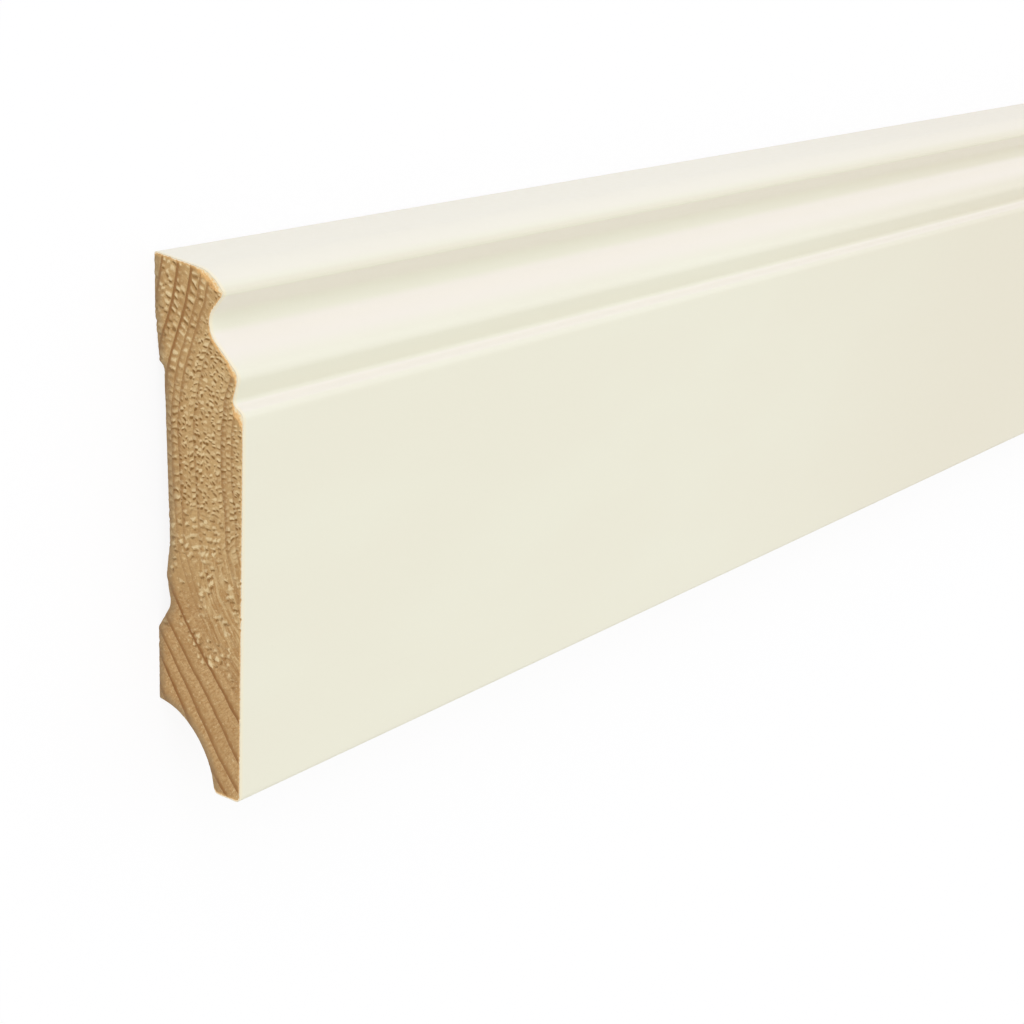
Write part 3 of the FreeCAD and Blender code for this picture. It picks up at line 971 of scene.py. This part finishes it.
# Limits and shares of the wood's colours. A pair of shares is for the smooth cut and the torn
# one, and the lines' last pair for the back and the ends.
EARLY, LAYER = (0.34, 0.68), (0.50, 0.68, 0.0, 0.45)
PATCH, BLOTCH = (0.45, 0.7, 0.0, 0.3), (0.52, 0.68, 0.0, 0.35)
HATCHED, SPECKLED, LINED, LINED_FACE = (0.64, 0.28), (0.46, 0.50), (1.0, 0.78), (0.6, 1.0)
TORN_SHARE, DARK_SHARE, PALE_SHARE, SCALE_LIT, SCALE_SHADOW = 0.7, 0.50, 0.30, 0.92, 0.96
TONE_LIT, TONE_SHADOWED, OPEN_GRAIN = (0.05, 0.9), (-0.95, -0.10, 0.75), (0.35, 0.60, 0.20)
EDGE_SHADE_UNEVEN, EDGE_SHADE_SPAN, MIST_UNEVEN, MISTED = 0.25, (0.0, 2.2, 0.64), 0.9, (0.1, 0.9)
PINE_ROUGH, PINE_SPECULAR = (0.72, 0.86), 0.3
FIBRE_BUMP, GRAIN_BUMP, SCALE_BUMP, HAIR_BUMP, STREAK_BUMP = (
    (0.10, 0.4), (0.05, 0.6), (0.06, 0.35), (0.04, 0.5), (0.04, 0.4))


def bare_pine(n):
    n = PineNodes(n.tree)
    line, ahead = n.ring_line()
    pale, pit = n.scales()
    hairs, specks = n.hatch()
    streak, pale_streak = n.streaks()
    fibre, grain, tone_and_shading = n.pattern(*FIBRE), n.pattern(*GRAIN), n.attribute("tone_and_shading")
    torn = (1.0 - n.attribute("smooth_cut")) * n.sawn
    line_force = torn.between(*LINED) * n.sawn.between(*LINED_FACE)
    edge = n.attribute("bare_gap") + n.wobble.swing(EDGE_SHADE_UNEVEN)
    colour = n.layered(
        linear(*WOOD_BODY),
        (fibre.ramp(*EARLY), WOOD_EARLY),
        (torn * TORN_SHARE, WOOD_TORN),
        (n.drawn(*LAYERS).ramp(*LAYER), WOOD_AHEAD),
        (n.pattern(*PATCHES).ramp(*PATCH), WOOD_AHEAD),
        (n.pattern(*BLOTCHES).ramp(*BLOTCH), WOOD_STREAK),
        ((1.0 - hairs) * torn.between(*HATCHED), WOOD_STREAK),
        (ahead, WOOD_AHEAD),
        (streak * DARK_SHARE, WOOD_STREAK),
        (pale_streak * PALE_SHARE, CHIP_PALE_AND_LIT),
        # Painted highlight on the lips of small chips, and further down on the torn chips.
        (pale * SCALE_LIT, CHIP_PALE_AND_LIT),
        (specks * torn.between(*SPECKLED), CHIP_PALE_AND_LIT),
        (tone_and_shading.ramp(*TONE_LIT), CHIP_PALE_AND_LIT),
        (line * line_force, WOOD_LINE),
        (grain.fall(*OPEN_GRAIN), WOOD_LINE),
        # Painted shadow in the pits of torn chips and small chips.
        (tone_and_shading.fall(*TONE_SHADOWED), PIT_SHADOW),
        (pit * SCALE_SHADOW, PIT_SHADOW),
        # Painted shade along the bare edges.
        (edge.fall(*EDGE_SHADE_SPAN), EDGE_SHADE),
    )
    reach = n.attribute("past_paint") + n.pattern(*MIST).swing(MIST_UNEVEN, MOST)
    colour = n.layered(rimmed(n, colour), (reach.fall(*MISTED), COAT))
    n.finish(colour, grain.ramp(*MOST, *PINE_ROUGH), PINE_SPECULAR,
             (fibre, *FIBRE_BUMP), (grain, *GRAIN_BUMP), (pale - pit, *SCALE_BUMP),
             (hairs - line, *HAIR_BUMP), (pale_streak - streak, *STREAK_BUMP))


# The studio.
FLOOR_HALF, FLOOR_GREY, FLOOR_SEEN = 9.0, 0.80, 0.97
FLOOR_GLOW = 0.88  # share of the seen floor that is plain white
PAPER, PAPER_UNEVEN = (0.02, 0.02, 0.02), 0.01
ROOM_LOW, ROOM_HIGH = 0.19, 0.94  # the room's light level with the horizon and overhead
ROOM_SIDE = 0.50  # more light from the top edge's side
ROOM_SIDE_TINT = (1.0, 1.0, 1.10, 1.0)
# A lamp is its strength, its tint, the way it comes from and its width in degrees.
KEY = (0.87, (1.01, 1.0, 1.18), (-0.45, 0.85, 0.60), 45.0)
FILL = (0.53, (1.06, 1.0, 0.90), (-0.30, -0.80, 0.50), 70.0)


def grey(level):
    return (level, level, level, 1.0)


def shown_to_camera(n):
    """1 for rays from the camera, and for rays that a glossy or clear surface sends on to it."""
    seen, glossy, clear = (n.field("Is " + kind + " Ray", "LightPath", ())
                           for kind in ("Camera", "Glossy", "Transmission"))
    return seen.at_least(glossy.at_least(clear))


def studio_paper(n):
    shown, white = shown_to_camera(n), grey(FLOOR_GREY)
    paper = n.mix(shown, white, grey(FLOOR_SEEN))
    colour = n.mix(n.pattern(*PAPER).ramp(*MOST, 0.0, PAPER_UNEVEN), paper, white)
    diffuse = n.field(0, "BsdfDiffuse", {"Color": colour})
    glow = n.field(0, "Emission", ())
    surface = n.field(0, "MixShader", (shown * FLOOR_GLOW, diffuse, glow))
    n.node("OutputMaterial", {"Surface": surface})


def studio_floor():
    mesh = bpy.data.meshes.new("studio_floor")
    h = FLOOR_HALF
    mesh.from_pydata([(-h, -h, 0), (h, -h, 0), (h, h, 0), (-h, h, 0)], [], [(0, 1, 2, 3)])
    mesh.materials.append(new_material(studio_paper))
    floor = in_scene("studio_floor", mesh)


def studio_world():
    """A pale room, lighter overhead and on the top edge's side, that the camera sees as plain white."""
    world = bpy.data.worlds.new("studio")
    bpy.context.scene.world = world
    world.use_nodes = True
    n = Nodes(world.node_tree)
    _, side, overhead = n.parts(n.place("Generated"))
    room = n.mix(overhead.at_least(0.0), grey(ROOM_LOW), grey(ROOM_HIGH))
    room = n.mix(side.at_least(0.0) * ROOM_SIDE, room, ROOM_SIDE_TINT, "ADD")
    background = n.tree.nodes["Background"]
    n.feed(background.inputs["Color"], n.mix(shown_to_camera(n), room, grey(1.0)))


def studio_lamp(name, strength, tint, come_from, width):
    lamp = bpy.data.lights.new(name, "SUN")
    lamp.energy, lamp.color, lamp.angle = strength, tint, math.radians(width)
    made = in_scene(name, lamp)
    made.rotation_mode = "QUATERNION"
    made.rotation_quaternion = Vector(come_from).to_track_quat("Z", "Y")


def camera():
    data = bpy.data.cameras.new("camera")
    data.sensor_width = SENSOR_WIDTH
    data.lens = SENSOR_WIDTH * FOCAL_PIXELS / PICTURE_PIXELS
    data.clip_start, data.clip_end = CLIP_NEAR, CLIP_FAR
    made = in_scene("camera", data)
    place, aim = Vector(CAMERA_PLACE) * MM, Vector(CAMERA_AIM) * MM
    level = (aim - place).to_track_quat("-Z", "Y").to_matrix().to_4x4()
    roll = Matrix.Rotation(math.radians(-CAMERA_ROLL), 4, "Z")
    made.matrix_world = Matrix.Translation(place) @ level @ roll
    bpy.context.scene.camera = made


def main():
    finishes = [new_material(paint) for paint in (cream_lacquer, bare_pine)]
    board = BoardMesh().build("painted_board", finishes)
    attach(board, "root")
    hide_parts("skirting_board")
    studio_floor()
    studio_world()
    studio_lamp("key", *KEY)
    studio_lamp("fill", *FILL)
    camera()
    bpy.context.scene.view_settings.view_transform = "Standard"


main()
